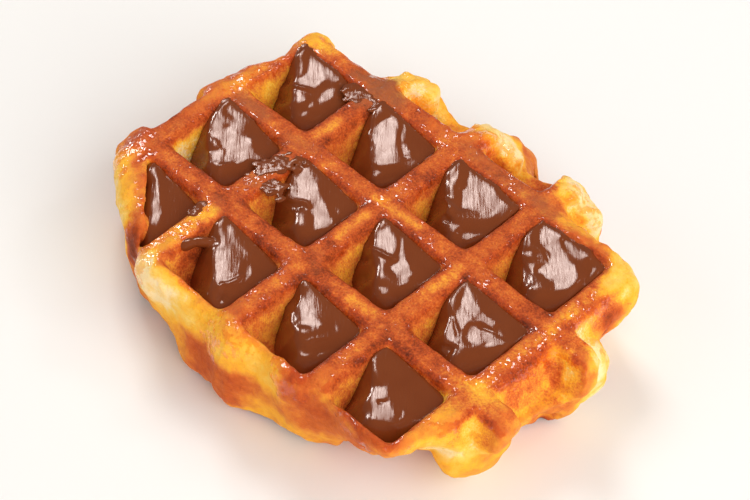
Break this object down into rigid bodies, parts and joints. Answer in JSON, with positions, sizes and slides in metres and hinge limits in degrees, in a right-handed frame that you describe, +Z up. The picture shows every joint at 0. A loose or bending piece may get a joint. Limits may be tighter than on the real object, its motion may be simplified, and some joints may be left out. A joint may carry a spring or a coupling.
{
  "type": "liege waffle",
  "caption": "Oval baked waffle with deep square pockets on both faces, chocolate spread filling those of the top face, and a ragged glazed rim.",
  "frame": {"origin": "centre of the waffle's footprint, on the surface that it lies on", "axes": "+X along the rows of four pockets, +Y across the three rows, away from the side with the thin rim, +Z up"},
  "size_m": [0.1172, 0.1004, 0.0249],
  "materials": {
    "crust": "toasted golden-brown crust, partly wet with melted sugar",
    "chocolate": "smooth wet gloss with soft folds"
  },
  "bodies": {
    "root": {"waffle": "crust", "chocolate_1_1": "chocolate", "chocolate_1_2": "chocolate", "chocolate_1_3": "chocolate", "chocolate_2_1": "chocolate", "chocolate_2_2": "chocolate", "chocolate_2_3": "chocolate", "chocolate_3_1": "chocolate", "chocolate_3_2": "chocolate", "chocolate_3_3": "chocolate", "chocolate_4_1": "chocolate", "chocolate_4_2": "chocolate", "chocolate_4_3": "chocolate"}
  },
  "joints": []
}
